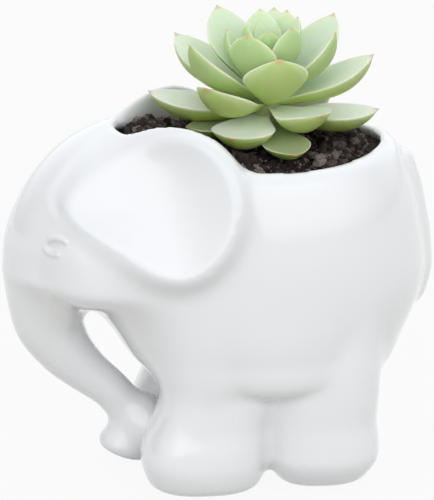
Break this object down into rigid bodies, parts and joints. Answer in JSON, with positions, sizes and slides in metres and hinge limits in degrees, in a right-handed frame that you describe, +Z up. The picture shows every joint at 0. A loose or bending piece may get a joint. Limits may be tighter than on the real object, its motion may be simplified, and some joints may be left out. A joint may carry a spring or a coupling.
{
  "type": "animal shaped planter",
  "caption": "Glossy white elephant-shaped ceramic planter with dished ears and a curled trunk, holding dark soil and a pointed-leaf rosette succulent that lifts out.",
  "frame": {"origin": "on the floor, under the middle of the bounding box", "axes": "+Z up, -X where the elephant's head looks, +X the tail, Y = 0 is the pot's plane of symmetry"},
  "size_m": [0.1302, 0.0906, 0.1386],
  "materials": {
    "white_glaze": "glossy white glaze",
    "soil": "dull, crumbly, dark brown",
    "leaf": "waxy pale green with pink edges",
    "stem": "dull yellow-green",
    "plug_rubber": "matt grey rubber",
    "screen_mesh": "black plastic mesh"
  },
  "bodies": {
    "pot": {"elephant_pot": "white_glaze", "drain_screen": "screen_mesh", "potting_soil": "soil", "soil_crumbs": "soil"},
    "plant": {"root_ball": "soil", "stem": "stem", "leaf_01": "leaf", "leaf_02": "leaf", "leaf_03": "leaf", "leaf_04": "leaf", "leaf_05": "leaf", "leaf_06": "leaf", "leaf_07": "leaf", "leaf_08": "leaf", "leaf_09": "leaf", "leaf_10": "leaf", "leaf_11": "leaf", "leaf_12": "leaf", "leaf_13": "leaf", "leaf_14": "leaf", "leaf_15": "leaf", "leaf_16": "leaf", "leaf_17": "leaf", "leaf_18": "leaf", "leaf_19": "leaf", "leaf_20": "leaf", "leaf_21": "leaf", "leaf_22": "leaf", "leaf_23": "leaf", "leaf_24": "leaf", "leaf_25": "leaf", "leaf_26": "leaf", "leaf_27": "leaf", "leaf_28": "leaf", "leaf_29": "leaf", "leaf_30": "leaf"},
    "plug": {"drain_plug": "plug_rubber"}
  },
  "joints": [
    {"name": "plant_lift", "type": "slide", "parent": "pot", "child": "plant", "axis": [0, 0, 1], "range_m": [0, 0.06]},
    {"name": "plug_pull", "type": "slide", "parent": "pot", "child": "plug", "axis": [0, 0, -1], "range_m": [0, 0.015]}
  ]
}
